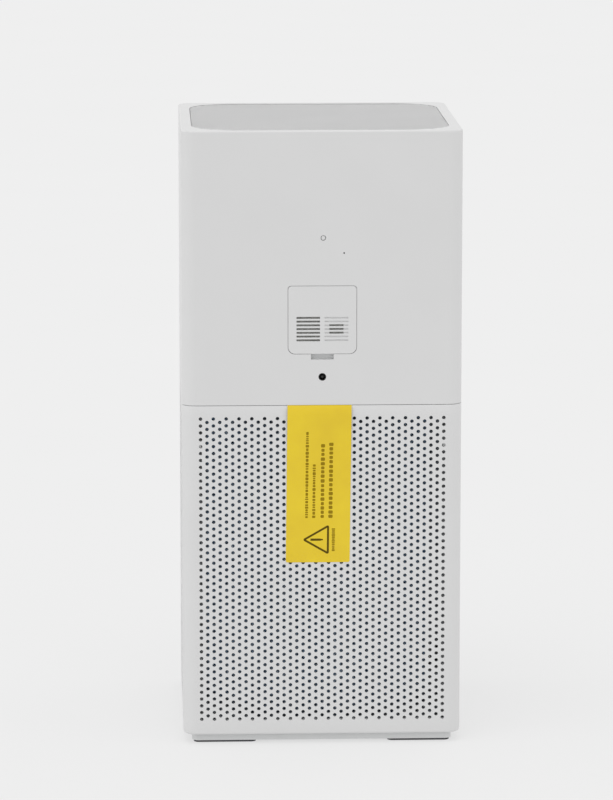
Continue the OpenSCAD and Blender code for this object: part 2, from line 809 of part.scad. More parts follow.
module filter_gasket() color("black")
  ring(filter_core_d / 2 + 18, filter_core_d / 2 + 6, filter_top, deck_z - 0.3 - filter_top);

// Fabric strap for pulling the filter out
module filter_pull_tab() color("steelblue")
  translate([-11, -filter_d / 2 + 4, filter_top]) {
    cube([22, 22, 1]);
    translate([0, -8, 0]) cube([22, 8, 1]);
    translate([0, -8, -40]) cube([22, 1, 40]);
  }

// ---------- every node by name ----------

base_plate();
rubber_feet();
base_screws();
lower_shell();
left_post();
right_post();
fan_deck();
deck_screws();
door_strikers();
inlet_guard();
inlet_ring();
casing_seal();
fan_casing();
diffuser();
flow_cone();
motor_housing();
motor_end_cap();
motor_bearings();
stator_core();
motor_screws();
upper_housing();
outlet_grille();
sensor_bay();
particle_sensor();
humidity_sensor();
button_board();
dc_jack();
main_board();
board_parts();
board_screws();
display_lens();
display_board();
touch_key();
power_harness();
sensor_harness();
display_harness();
impeller();
impeller_nut();
motor_shaft();
rotor_magnet();
door_panel();
door_frame();
door_magnets();
filter_notice_tag();
filter_bottom_cap();
filter_top_cap();
filter_media();
filter_outer_mesh();
filter_carbon_core();
filter_gasket();
filter_pull_tab();
sensor_cover();
sensor_dust_foam();
brightness_button();
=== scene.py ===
import math
import random

import bmesh
import bpy
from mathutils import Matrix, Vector


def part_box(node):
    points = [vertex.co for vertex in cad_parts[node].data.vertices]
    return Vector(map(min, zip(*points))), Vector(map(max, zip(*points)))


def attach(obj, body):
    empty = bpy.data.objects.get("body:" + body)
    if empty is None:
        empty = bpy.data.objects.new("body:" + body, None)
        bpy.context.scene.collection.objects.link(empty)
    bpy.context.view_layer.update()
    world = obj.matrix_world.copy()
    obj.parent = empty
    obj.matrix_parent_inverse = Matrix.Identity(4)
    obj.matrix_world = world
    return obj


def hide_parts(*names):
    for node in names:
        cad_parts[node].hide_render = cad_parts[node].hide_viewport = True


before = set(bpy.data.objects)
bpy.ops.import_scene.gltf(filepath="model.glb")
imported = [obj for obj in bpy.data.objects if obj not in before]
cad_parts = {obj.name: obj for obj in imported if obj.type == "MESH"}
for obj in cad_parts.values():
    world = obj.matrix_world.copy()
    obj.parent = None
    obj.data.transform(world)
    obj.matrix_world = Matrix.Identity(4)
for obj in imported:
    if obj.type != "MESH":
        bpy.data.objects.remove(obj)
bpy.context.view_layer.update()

# A tower air purifier, seen from its rear: a smooth upper housing with a slatted outlet on top,
# and a punched lower shell whose rear is a lift-off door. A printed film tag hangs out of the
# seam. Metres. Shells are modelled lying flat, x across, y up and z outwards, then stood up.

MM = 0.001

# ---------- sizes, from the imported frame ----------

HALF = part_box("upper_housing")[1].x          # half the body's width
CORNER = 12 * MM                             # radius of its upright corners
WALL = 2.4 * MM
DOOR_LOW, DOOR_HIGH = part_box("door_panel")
SHELL_LOW, SHELL_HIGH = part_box("lower_shell")
TAG_LOW, TAG_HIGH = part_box("filter_notice_tag")
TAG_LEFT, TAG_RIGHT = TAG_LOW.x + 0.8 * MM, TAG_HIGH.x - 0.2 * MM
TAG_LEAN = 0.011                             # how far the tag hangs askew, per length

# The punched pattern: round holes in columns, every other column half a pitch lower
HOLE_R = 1.6 * MM
PITCH_X = 5.49 * MM
PITCH_Z = 6.0 * MM
ROWS = 45                                    # holes in a tall column
FIRST_ROW = 22.5 * MM                        # height of its lowest hole
COLUMNS = 39                                 # on the door, and on the front
SIDE_COLUMNS = 37                            # on the left and on the right

LOWER_EDGE_R = 2.0 * MM                      # rounding of the shells' lower edge
SEAM_EDGE_R = 0.2 * MM                       # of their upper edge, at the seam
END_EDGE_R = 0.25 * MM                       # and of their upright ends

SAME_PLACE = 0.01 * MM                       # points closer than this are merged
ON_OUTLINE = 0.1 * MM                        # a point this near the outline lies on it

PLEATS = 60                                  # folds of the filter's paper
STRAND = 1.1 * MM                            # thickness of its net's strands

FILM = 0.18 * MM                             # thickness of the tag's film
INK = 0.03 * MM                              # and of what is printed on it
BOW = 1.55 * MM                              # how far it bows out below the seam
SIGN_Z = 180.6 * MM                          # height of the triangle's middle
SIGN_LEFT = -16.2 * MM                       # its left tip
SIGN_R = 15.5 * MM                           # from its middle to a tip, before they are rounded
SIGN_STROKE = 1.75 * MM
ROWS_Z = 199.6 * MM                          # lower end of the four long rows of dashes
SHORT_ROW_Z = 170.5 * MM                     # and of the short one

BOSS_R = 4.6 * MM                            # the shell's screw bosses
BOSS_HEIGHT = 24 * MM
BOSS_INSET = 15 * MM                         # from the body's outside to their middle
BOSS_WALL = 2.8 * MM
WEB_SIZE = (7.5 * MM, 2.6 * MM)              # length and width of the web that holds a boss
WEB_OUT = 6.3 * MM                           # from the boss's middle to the web's, each way


# ---------- modelling ------------------

def take(piece):
    """Makes a piece the only one that is selected, and the active one."""
    bpy.ops.object.select_all(action="DESELECT")
    piece.select_set(True)
    bpy.context.view_layer.objects.active = piece
    return piece


def open_piece(piece):
    """Goes into edit mode on a piece with all of it selected."""
    take(piece)
    bpy.ops.object.mode_set(mode="EDIT")
    bpy.ops.mesh.select_mode(type="VERT")
    bpy.ops.mesh.select_all(action="SELECT")


def close_piece():
    bpy.ops.object.mode_set(mode="OBJECT")


def centre(element):
    """Middle of an edge or a face."""
    return sum((v.co for v in element.verts), Vector()) / len(element.verts)


def pick(piece, kind, test):
    """In edit mode, selects the VERT, EDGE or FACE elements that pass a test, and only those."""
    bpy.ops.mesh.select_mode(type=kind)
    bpy.ops.mesh.select_all(action="DESELECT")
    mesh = bmesh.from_edit_mesh(piece.data)
    groups = {"VERT": mesh.verts, "EDGE": mesh.edges, "FACE": mesh.faces}
    for element in groups[kind]:
        if test(element):
            element.select_set(True)
    mesh.select_flush_mode()
    bmesh.update_edit_mesh(piece.data)


def pull(piece, test, offset):
    """Extrudes the border edges whose middle passes a test."""
    pick(piece, "EDGE", lambda e: e.is_boundary and test(centre(e)))
    bpy.ops.mesh.extrude_edges_move(TRANSFORM_OT_translate={"value": offset})


def round_edges(piece, test, radius, segments):
    """Bevels the edges that pass a test."""
    pick(piece, "EDGE", test)
    bpy.ops.mesh.bevel(offset=radius, segments=segments, affect="EDGES")


def modify(piece, kind, **settings):
    """Gives a piece a modifier with these settings, and applies it."""
    take(piece)
    modifier = piece.modifiers.new(kind.title(), kind)
    for name, value in settings.items():
        setattr(modifier, name, value)
    bpy.ops.object.modifier_apply(modifier=modifier.name)
    return piece


def twin(piece):
    """A copy of a piece with its own mesh."""
    copy = bpy.data.objects.new(piece.name, piece.data.copy())
    bpy.context.scene.collection.objects.link(copy)
    return copy


def join(pieces):
    """Joins pieces into the first one and merges what meets."""
    take(pieces[0])
    for piece in pieces:
        piece.select_set(True)
    bpy.ops.object.join()
    open_piece(pieces[0])
    bpy.ops.mesh.remove_doubles(threshold=SAME_PLACE)
    close_piece()
    return pieces[0]


def stand_up(piece, quarter_turns=0):
    """Turns a flat-lying piece so that its outside faces the rear, or a side further round."""
    take(piece)
    piece.rotation_euler = (math.pi / 2, 0, quarter_turns * math.pi / 2)
    bpy.ops.object.transform_apply(location=True, rotation=True, scale=True)
    return piece


def settle(piece, name, body, material, replaced=(), angle=30):
    """Names a finished piece, smooths it, gives it its material and lets it ride on its body."""
    take(piece)
    bpy.ops.object.transform_apply(location=True, rotation=True, scale=True)
    bpy.ops.object.shade_smooth_by_angle(angle=math.radians(angle))
    piece.name = name
    piece.data.name = name
    piece.data.materials.clear()
    piece.data.materials.append(material)
    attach(piece, body)
    if replaced:
        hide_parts(*replaced)
    return piece


# ---------- materials ----------

def srgb(code):
    """Linear RGBA of an sRGB hex value."""
    channels = [int(code[i:i + 2], 16) / 255 for i in (1, 3, 5)]
    linear = [c / 12.92 if c <= 0.04045 else ((c + 0.055) / 1.055) ** 2.4 for c in channels]
    return (*linear, 1.0)


def add(tree, kind, sockets=(), **settings):
    """Adds a node. settings are its properties, and sockets maps inputs to values or to outputs.
    A Mix node's two colours are its inputs 6 and 7, and the mixed colour is its output 2."""
    node = tree.nodes.new(kind)
    for name, value in settings.items():
        setattr(node, name, value)
    for socket, value in dict(sockets).items():
        if isinstance(value, bpy.types.NodeSocket):
            tree.links.new(value, node.inputs[socket])
        else:
            node.inputs[socket].default_value = value
    return node


def start(name, **shader_values):
    """A new material, its tree, its shader with constant values, and the place patterns read."""
    material = bpy.data.materials.new(name)
    material.use_nodes = True
    tree = material.node_tree
    shader = tree.nodes["Principled BSDF"]
    for socket, value in shader_values.items():
        shader.inputs[socket.replace("_", " ")].default_value = value
    place = add(tree, "ShaderNodeTexCoord").outputs["Object"]
    return material, tree, shader, place


def moulded(name, dark, light, roughness, grain, relief, ior=1.5):
    """Injection-moulded plastic: an even tone that drifts slowly, and the fine grain of a
    spark-eroded mould, which breaks up the gloss. grain is its width and relief its height."""
    material, tree, shader, place = start(name, IOR=ior)
    drift = add(tree, "ShaderNodeTexNoise", {"Vector": place, "Scale": 1 / (45 * MM),
                                             "Detail": 2.0})
    colour = add(tree, "ShaderNodeMix", {0: drift.outputs["Fac"], 6: srgb(dark),
                                         7: srgb(light)}, data_type="RGBA")
    tree.links.new(colour.outputs[2], shader.inputs["Base Color"])
    grains = add(tree, "ShaderNodeTexNoise", {"Vector": place, "Scale": 1 / grain, "Detail": 3.0})
    gloss = add(tree, "ShaderNodeMapRange", {"Value": grains.outputs["Fac"], "From Min": 0.3,
                                             "From Max": 0.7, "To Min": roughness - 0.06,
                                             "To Max": roughness + 0.06})
    tree.links.new(gloss.outputs["Result"], shader.inputs["Roughness"])
    bump = add(tree, "ShaderNodeBump", {"Height": grains.outputs["Fac"], "Strength": 0.35,
                                        "Distance": relief})
    tree.links.new(bump.outputs["Normal"], shader.inputs["Normal"])
    return material


def ground_steel(name, dark, light, roughness, scratch=0.4 * MM, along=(1, 1, 14)):
    """Ground or plated steel: fine parallel scratches that stretch the highlight."""
    material, tree, shader, place = start(name, Metallic=1.0)
    lie = add(tree, "ShaderNodeMapping", {"Vector": place, "Scale": tuple(1 / a for a in along)})
    lines = add(tree, "ShaderNodeTexNoise", {"Vector": lie.outputs["Vector"], "Scale": 1 / scratch,
                                             "Detail": 2.0})
    colour = add(tree, "ShaderNodeMix", {0: lines.outputs["Fac"], 6: srgb(dark),
                                         7: srgb(light)}, data_type="RGBA")
    tree.links.new(colour.outputs[2], shader.inputs["Base Color"])
    gloss = add(tree, "ShaderNodeMapRange", {"Value": lines.outputs["Fac"],
                                             "To Min": roughness - 0.08,
                                             "To Max": roughness + 0.12})
    tree.links.new(gloss.outputs["Result"], shader.inputs["Roughness"])
    bump = add(tree, "ShaderNodeBump", {"Height": lines.outputs["Fac"], "Strength": 0.2,
                                        "Distance": 0.02 * MM})
    tree.links.new(bump.outputs["Normal"], shader.inputs["Normal"])
    return material


def foam(name, dark, light, cell):
    """Cellular rubber or foam: painted shade in the pits between soft cell walls, no gloss."""
    material, tree, shader, place = start(name, Roughness=0.95, IOR=1.45)
    cells = add(tree, "ShaderNodeTexVoronoi", {"Vector": place, "Scale": 1 / cell})
    # painted shade: each cell is painted darker towards its middle, where its pit sinks
    colour = add(tree, "ShaderNodeMix", {0: cells.outputs["Distance"], 6: srgb(dark),
                                         7: srgb(light)}, data_type="RGBA")
    tree.links.new(colour.outputs[2], shader.inputs["Base Color"])
    bump = add(tree, "ShaderNodeBump", {"Height": cells.outputs["Distance"], "Strength": 0.8,
                                        "Distance": 0.3 * MM})
    tree.links.new(bump.outputs["Normal"], shader.inputs["Normal"])
    return material


def fibre_web(name, dark, light, clump):
    """Unwoven fibres, such as filter paper or fleece: matt, with soft clumps and thin places."""
    material, tree, shader, place = start(name, Roughness=0.9, IOR=1.45)
    fibres = add(tree, "ShaderNodeTexNoise", {"Vector": place, "Scale": 1 / clump, "Detail": 5.0,
                                              "Distortion": 1.5})
    colour = add(tree, "ShaderNodeMix", {0: fibres.outputs["Fac"], 6: srgb(dark),
                                         7: srgb(light)}, data_type="RGBA")
    tree.links.new(colour.outputs[2], shader.inputs["Base Color"])
    bump = add(tree, "ShaderNodeBump", {"Height": fibres.outputs["Fac"], "Strength": 0.5,
                                        "Distance": 0.15 * MM})
    tree.links.new(bump.outputs["Normal"], shader.inputs["Normal"])
    return material


def carbon_granules():
    """Activated carbon in a thin cloth: black 2 mm grains that glint a little, with a painted
    highlight on their crowns and painted shade in the gaps between them.
    """
    material, tree, shader, place = start("carbon_granules", IOR=1.6)
    grains = add(tree, "ShaderNodeTexVoronoi", {"Vector": place, "Scale": 1 / (2.2 * MM)})
    # painted light: each grain is painted lighter at its crown and darker towards the gaps between
    # grains, painted highlight and painted shade
    colour = add(tree, "ShaderNodeMix", {0: grains.outputs["Distance"], 6: srgb("#2A2A2C"),
                                         7: srgb("#0A0A0B")}, data_type="RGBA")
    tree.links.new(colour.outputs[2], shader.inputs["Base Color"])
    gloss = add(tree, "ShaderNodeMapRange", {"Value": grains.outputs["Distance"], "To Min": 0.45,
                                             "To Max": 0.9})
    tree.links.new(gloss.outputs["Result"], shader.inputs["Roughness"])
    bump = add(tree, "ShaderNodeBump", {"Height": grains.outputs["Distance"], "Strength": 1.0,
                                        "Distance": 0.8 * MM}, invert=True)
    tree.links.new(bump.outputs["Normal"], shader.inputs["Normal"])
    return material


def woven_tape():
    """Woven polyester tape: 0.8 mm threads over and under each other, with a painted highlight
    where they rise and painted shade where they dip.
    """
    material, tree, shader, place = start("woven_polyester_tape", Roughness=0.75, Sheen_Weight=0.3)
    across = add(tree, "ShaderNodeTexWave", {"Vector": place, "Scale": 1 / (5.0 * MM)},
                 bands_direction="X")
    along = add(tree, "ShaderNodeTexWave", {"Vector": place, "Scale": 1 / (5.0 * MM)},
                bands_direction="Z")
    weave = add(tree, "ShaderNodeMath", {0: across.outputs["Fac"], 1: along.outputs["Fac"]},
                operation="MULTIPLY")
    # painted light: the weave's raised crossings are painted lighter and the dips between them
    # darker, painted highlight and painted shade
    colour = add(tree, "ShaderNodeMix", {0: weave.outputs["Value"], 6: srgb("#274E74"),
                                         7: srgb("#5C8FBE")}, data_type="RGBA")
    tree.links.new(colour.outputs[2], shader.inputs["Base Color"])
    bump = add(tree, "ShaderNodeBump", {"Height": weave.outputs["Value"], "Strength": 0.7,
                                        "Distance": 0.2 * MM})
    tree.links.new(bump.outputs["Normal"], shader.inputs["Normal"])
    return material


def yellow_film():
    """Polyester film printed solid yellow: satin gloss, very slightly uneven ink and a shallow
    waviness from the roll."""
    material, tree, shader, place = start("polyester_film_yellow_ink", IOR=1.57, Roughness=0.38,
                                          Coat_Weight=0.05)
    ink = add(tree, "ShaderNodeTexNoise", {"Vector": place, "Scale": 1 / (22 * MM), "Detail": 3.0})
    colour = add(tree, "ShaderNodeMix", {0: ink.outputs["Fac"], 6: srgb("#DAB800"),
                                         7: srgb("#EACE04")}, data_type="RGBA")
    tree.links.new(colour.outputs[2], shader.inputs["Base Color"])
    waves = add(tree, "ShaderNodeTexNoise", {"Vector": place, "Scale": 1 / (14 * MM)})
    bump = add(tree, "ShaderNodeBump", {"Height": waves.outputs["Fac"], "Strength": 0.5,
                                        "Distance": 0.6 * MM})
    tree.links.new(bump.outputs["Normal"], shader.inputs["Normal"])
    return material


def print_ink(name, dark, light):
    """Dark ink printed on the film, thinner where the screen left pinholes."""
    material, tree, shader, place = start(name, Roughness=0.7, Specular_IOR_Level=0.2)
    holes = add(tree, "ShaderNodeTexNoise", {"Vector": place, "Scale": 1 / (1.2 * MM),
                                             "Detail": 4.0})
    colour = add(tree, "ShaderNodeMix", {0: holes.outputs["Fac"], 6: srgb(dark),
                                         7: srgb(light)}, data_type="RGBA")
    tree.links.new(colour.outputs[2], shader.inputs["Base Color"])
    return material


def smoked_acrylic():
    """Polished black acrylic: a deep, sharp gloss with only the faintest ripple."""
    material, tree, shader, place = start("smoked_acrylic", IOR=1.49, Roughness=0.06)
    ripple = add(tree, "ShaderNodeTexNoise", {"Vector": place, "Scale": 1 / (18 * MM)})
    colour = add(tree, "ShaderNodeMix", {0: ripple.outputs["Fac"], 6: srgb("#050506"),
                                         7: srgb("#0B0B0D")}, data_type="RGBA")
    tree.links.new(colour.outputs[2], shader.inputs["Base Color"])
    bump = add(tree, "ShaderNodeBump", {"Height": ripple.outputs["Fac"], "Strength": 0.1,
                                        "Distance": 0.05 * MM})
    tree.links.new(bump.outputs["Normal"], shader.inputs["Normal"])
    return material


def solder_mask():
    """Green solder mask on glass-fibre board: the copper tracks show as paler, raised lines."""
    material, tree, shader, place = start("solder_mask_on_glass_epoxy", Roughness=0.3, IOR=1.5)
    tracks = add(tree, "ShaderNodeTexBrick", {"Vector": place, "Scale": 1 / (9 * MM),
                                              "Mortar Size": 0.06, "Color1": srgb("#0E4A2B"),
                                              "Color2": srgb("#125632"), "Mortar": srgb("#2E8A55")})
    tree.links.new(tracks.outputs["Color"], shader.inputs["Base Color"])
    bump = add(tree, "ShaderNodeBump", {"Height": tracks.outputs["Fac"], "Strength": 0.3,
                                        "Distance": 0.05 * MM})
    tree.links.new(bump.outputs["Normal"], shader.inputs["Normal"])
    return material


def wound_stator():
    """Varnished steel laminations: 0.5 mm sheets that show as fine level lines."""
    material, tree, shader, place = start("varnished_laminations", Metallic=0.8, Roughness=0.45)
    sheets = add(tree, "ShaderNodeTexWave", {"Vector": place, "Scale": 1 / (3.2 * MM)},
                 bands_direction="Z")
    colour = add(tree, "ShaderNodeMix", {0: sheets.outputs["Fac"], 6: srgb("#4A2E1C"),
                                         7: srgb("#8A5A38")}, data_type="RGBA")
    tree.links.new(colour.outputs[2], shader.inputs["Base Color"])
    bump = add(tree, "ShaderNodeBump", {"Height": sheets.outputs["Fac"], "Strength": 0.6,
                                        "Distance": 0.1 * MM})
    tree.links.new(bump.outputs["Normal"], shader.inputs["Normal"])
    return material


shell_abs = moulded("moulded_abs_white", "#D4D4D4", "#D7D7D7", 0.42, 0.7 * MM, 0.04 * MM)
inner_abs = moulded("moulded_abs_inside", "#CDCECE", "#D3D4D4", 0.55, 0.9 * MM, 0.05 * MM)
plinth_abs = moulded("moulded_abs_plinth", "#D3D4D4", "#D7D8D8", 0.5, 0.8 * MM, 0.05 * MM)
# painted light: the grille's white is painted lighter than the housing's, to make up for the shade
# between its slats
grille_abs_painted_lighter = moulded("moulded_abs_grille_painted_lighter", "#E2E2E2", "#E5E5E5", 0.5, 0.7 * MM, 0.04 * MM)
filter_frame_abs = moulded("moulded_abs_slate", "#6B7684", "#788492", 0.55, 0.8 * MM, 0.05 * MM)
net_polypropylene = moulded("extruded_polypropylene_net", "#7F9FBC", "#92B0CA", 0.5, 1.2 * MM,
                            0.04 * MM)
fan_nylon = moulded("glass_filled_nylon", "#41464D", "#4D535B", 0.5, 1.1 * MM, 0.06 * MM)
black_pbt = moulded("moulded_pbt_black", "#1A1A1B", "#242425", 0.4, 0.6 * MM, 0.03 * MM)
foot_rubber = moulded("moulded_nitrile_rubber", "#39393B", "#434345", 0.8, 0.9 * MM, 0.08 * MM,
                      1.52)
black_pvc = moulded("extruded_pvc_black", "#0D0D0E", "#171718", 0.35, 1.5 * MM, 0.02 * MM)
white_pvc = moulded("extruded_pvc_white", "#D4D4D2", "#DEDEDC", 0.35, 1.5 * MM, 0.02 * MM)
zinc_steel = ground_steel("zinc_plated_steel", "#B4B7BC", "#D4D6D9", 0.35)
shaft_steel = ground_steel("ground_bearing_steel", "#C2C4C6", "#E2E3E4", 0.2, along=(12, 12, 1))
cast_aluminium = ground_steel("die_cast_aluminium", "#8B8E93", "#A3A6AB", 0.5, 1.4 * MM, (1, 1, 1))
ferrite = moulded("sintered_ferrite", "#1B1B1D", "#262628", 0.7, 1.3 * MM, 0.1 * MM, 2.0)
gasket_foam = foam("closed_cell_epdm", "#121213", "#2B2B2D", 0.9 * MM)
dust_foam = foam("open_cell_polyurethane", "#6A6A68", "#A8A8A4", 1.4 * MM)
paper = fibre_web("melt_blown_paper", "#C4D2E2", "#DCE6F0", 0.6 * MM)
fleece = fibre_web("needled_polyester_fleece", "#BACFE4", "#D2E2F2", 1.0 * MM)
carbon = carbon_granules()
tape = woven_tape()
film = yellow_film()
text_ink = print_ink("screen_ink_olive", "#826A00", "#A0840A")
sign_ink = print_ink("screen_ink_brown", "#4E3E00", "#625002")
pale_ink = print_ink("screen_ink_pale_grey", "#9EA2A6", "#AEB2B6")
acrylic = smoked_acrylic()
board_mask = solder_mask()
laminations = wound_stator()


# ---------- the punched shells ----------

def punched_cell():
    """One cell of the pattern, lying flat: a round hole whose rim is drawn out to a square."""
    bpy.ops.mesh.primitive_circle_add(vertices=12, radius=HOLE_R, fill_type="NOTHING")
    cell = bpy.context.object
    open_piece(cell)
    bpy.ops.mesh.extrude_edges_move()
    mesh = bmesh.from_edit_mesh(cell.data)
    for vertex in (v for v in mesh.verts if v.select):
        angle = math.atan2(vertex.co.y, vertex.co.x)
        vertex.co.x = PITCH_X / 2 * round(1.2 * math.cos(angle))
        vertex.co.y = PITCH_Z / 2 * round(2 * math.sin(angle)) / 2
    bmesh.update_edit_mesh(cell.data)
    close_piece()
    return cell


def filler_cell():
    """The plain half cell that evens out the end of a short column."""
    bpy.ops.mesh.primitive_grid_add(x_subdivisions=2, y_subdivisions=2, size=1)
    cell = bpy.context.object
    cell.scale = (PITCH_X, PITCH_Z / 2, 1)
    bpy.ops.object.transform_apply(location=False, rotation=False, scale=True)
    return cell


def punched_sheet(columns, notch_reach=-1, notch_rows=0):
    """A flat sheet of punched columns. Its outermost columns are tall ones. The columns up to
    notch_reach from the middle lack their top notch_rows."""
    cell, filler = punched_cell(), filler_cell()
    reach = columns // 2
    parts = []
    for column in range(-reach, reach + 1):
        short = (column + reach) % 2
        rows = ROWS - short - (notch_rows if abs(column) <= notch_reach else 0)
        bottom = FIRST_ROW + short * PITCH_Z / 2
        part = twin(cell)
        part.location = (column * PITCH_X, bottom, 0)
        modify(part, "ARRAY", count=rows, use_relative_offset=False, use_constant_offset=True,
               constant_offset_displace=(0, PITCH_Z, 0), use_merge_vertices=True,
               merge_threshold=SAME_PLACE)
        parts.append(part)
        if short:
            last = bottom + (rows - 1) * PITCH_Z
            for height in (bottom - PITCH_Z * 3 / 4, last + PITCH_Z * 3 / 4):
                part = twin(filler)
                part.location = (column * PITCH_X, height, 0)
                parts.append(part)
    bpy.data.objects.remove(cell)
    bpy.data.objects.remove(filler)
    sheet = join(parts)
    take(sheet)
    bpy.ops.object.transform_apply(location=True, rotation=False, scale=False)
    sheet.location.z = HALF
    bpy.ops.object.transform_apply(location=True, rotation=False, scale=False)
    return sheet


def near(value, target):
    return abs(value - target) < 0.02 * MM


def depth_inside(co):
    """How far a point, lying flat, is inside the body's rounded outline."""
    x, z = abs(co.x) - (HALF - CORNER), abs(co.z) - (HALF - CORNER)
    return CORNER - (math.hypot(x, z) if x > 0 and z > 0 else max(x, z))


def wrap_corner(sheet, side, stub):
    """Carries the sheet's side on round the upright corner and a little way along the next face."""
    edge = max(side * v.co.x for v in sheet.data.vertices)
    open_piece(sheet)
    pull(sheet, lambda c: near(side * c.x, edge), (side * (HALF - CORNER - edge), 0, 0))
    bpy.ops.mesh.spin(steps=12, angle=-side * math.pi / 2, axis=(0, 1, 0),
                      center=(side * (HALF - CORNER), 0, HALF - CORNER))
    pull(sheet, lambda c: near(side * c.x, HALF), (0, 0, -stub))
    close_piece()


def finish_shell(sheet, low, high, side_ends):
    """Brings the sheet to its full height, gives it its wall, and rounds its edges."""
    top = FIRST_ROW + (ROWS - 0.5) * PITCH_Z
    bottom = FIRST_ROW - PITCH_Z / 2
    open_piece(sheet)
    pull(sheet, lambda c: near(c.y, top), (0, high - top, 0))
    pull(sheet, lambda c: near(c.y, bottom), (0, low - bottom, 0))
    bpy.ops.mesh.select_all(action="SELECT")
    bpy.ops.mesh.remove_doubles(threshold=SAME_PLACE)
    bpy.ops.mesh.normals_make_consistent(inside=False)
    close_piece()
    middle = min(sheet.data.polygons, key=lambda p: (p.center - Vector((0, 0.1, HALF))).length)
    if middle.normal.z < 0:
        open_piece(sheet)
        bpy.ops.mesh.flip_normals()
        close_piece()
    modify(sheet, "SOLIDIFY", thickness=WALL, offset=-1, use_even_offset=True)
    open_piece(sheet)

    def outer(e, height):
        return all(near(v.co.y, height) and depth_inside(v.co) < ON_OUTLINE for v in e.verts)

    round_edges(sheet, lambda e: outer(e, low), LOWER_EDGE_R, 4)
    round_edges(sheet, lambda e: outer(e, high), SEAM_EDGE_R, 2)
    for test in side_ends:
        round_edges(sheet, lambda e: all(depth_inside(v.co) < ON_OUTLINE and test(v.co)
                                         for v in e.verts), END_EDGE_R, 2)
    close_piece()


def door():
    """The rear door's panel: it wraps both corners, and the middle columns of its holes stop two
    rows short of its top edge, leaving its top middle unpunched for the finger notch.
    """
    sheet = punched_sheet(COLUMNS, notch_reach=4, notch_rows=2)
    stub = DOOR_HIGH.y - (-HALF + CORNER)
    for side in (1, -1):
        wrap_corner(sheet, side, stub)
    end = HALF - CORNER - stub
    finish_shell(sheet, DOOR_LOW.z, DOOR_HIGH.z, [lambda co: near(co.z, end)])
    settle(stand_up(sheet), "door_panel_punched", "filter_door", shell_abs,
           ["door_panel"])


def lower_shell():
    """The front and the two sides of the intake section, in three lengths that meet flush."""
    join_at = HALF - CORNER - 1 * MM
    front = punched_sheet(COLUMNS)
    for side in (1, -1):
        wrap_corner(front, side, 1 * MM)
    finish_shell(front, SHELL_LOW.z, SHELL_HIGH.z, [])
    settle(stand_up(front, 2), "lower_shell_front", "housing", shell_abs,
           ["lower_shell"])
    for side, name in ((1, "lower_shell_right"), (-1, "lower_shell_left")):
        sheet = punched_sheet(SIDE_COLUMNS)
        edge = SIDE_COLUMNS / 2 * PITCH_X
        open_piece(sheet)
        pull(sheet, lambda c: near(side * c.x, edge), (side * (join_at - edge), 0, 0))
        pull(sheet, lambda c: near(side * c.x, -edge), (side * (SHELL_LOW.y + edge), 0, 0))
        close_piece()
        finish_shell(sheet, SHELL_LOW.z, SHELL_HIGH.z, [lambda co: near(side * co.x, SHELL_LOW.y)])
        settle(stand_up(sheet, side), name, "housing", shell_abs, ["lower_shell"])


def shell_bosses():
    """The screw bosses in the shell's front corners, each on a web that grows out of the corner."""
    reach = HALF - BOSS_INSET
    parts = []
    for side in (1, -1):
        for low in (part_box("left_post")[0].z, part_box("left_post")[1].z - BOSS_HEIGHT):
            middle = low + BOSS_HEIGHT / 2
            bpy.ops.mesh.primitive_cylinder_add(vertices=32, radius=BOSS_R, depth=BOSS_HEIGHT,
                                                end_fill_type="NOTHING",
                                                location=(side * reach, reach, middle))
            boss = bpy.context.object
            parts.append(modify(boss, "SOLIDIFY", thickness=BOSS_WALL, offset=-1))
            bpy.ops.mesh.primitive_cube_add(size=1, rotation=(0, 0, side * math.pi / 4),
                                            location=(side * (reach + WEB_OUT), reach + WEB_OUT,
                                                      middle))
            web = bpy.context.object
            web.scale = (*WEB_SIZE, BOSS_HEIGHT)
            parts.append(web)
    for part in parts:
        take(part)
        bpy.ops.object.transform_apply(location=True, rotation=True, scale=True)
        modify(part, "BEVEL", width=0.3 * MM, segments=2, limit_method="ANGLE")
    settle(join(parts), "lower_shell_bosses", "housing", shell_abs, ["lower_shell"])


# ---------- mouldings whose CAD shape is right ----------

def merged_copy(node):
    """A copy of a CAD node's mesh with its loose triangles merged into whole faces."""
    piece = bpy.data.objects.new(node + "_copy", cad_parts[node].data.copy())
    bpy.context.scene.collection.objects.link(piece)
    open_piece(piece)
    bpy.ops.mesh.customdata_custom_splitnormals_clear()
    bpy.ops.mesh.remove_doubles(threshold=0.002 * MM)
    bpy.ops.mesh.dissolve_limited(angle_limit=math.radians(0.5))
    close_piece()
    return piece


def soften(node, body, material, radius, segments=2, shape=None):
    """Stands a copy of a CAD node in its place, with the small radii that its mould gives it."""
    piece = merged_copy(node)
    if shape:
        shape(piece)
    modify(piece, "BEVEL", width=radius, segments=segments, limit_method="ANGLE",
           angle_limit=math.radians(38), use_clamp_overlap=False)
    settle(piece, node + "_moulding", body, material, [node])
    return modify(piece, "WEIGHTED_NORMAL", keep_sharp=True, weight=80)


def round_outlet(piece):
    """The larger radius of the upper housing, along the outer edge of its top."""
    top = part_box("upper_housing")[1].z
    open_piece(piece)

    def on_top(e):
        return all(near(v.co.z, top) for v in e.verts)

    def outside(e):
        return all(max(abs(v.co.x), abs(v.co.y)) > HALF - CORNER * 0.4 for v in e.verts)

    round_edges(piece, lambda e: on_top(e) and outside(e) and len(e.link_faces) == 2
                and e.calc_face_angle(0) > 1, 1.2 * MM, 4)
    close_piece()


# ---------- the film tag ----------

def film_face(height):
    """Rear face of the tag's film at a height: it bows out just below the seam, then lies flat."""
    drop = (TAG_HIGH.z - height) / (10 * MM)
    return -HALF - 0.25 * MM - BOW * drop * math.exp(1 - drop)


def hang_askew(piece):
    """Leans the tag, or a print on it, a little to the left towards its lower end."""
    for vertex in piece.data.vertices:
        vertex.co.x -= TAG_LEAN * (TAG_HIGH.z - vertex.co.z)
    return piece


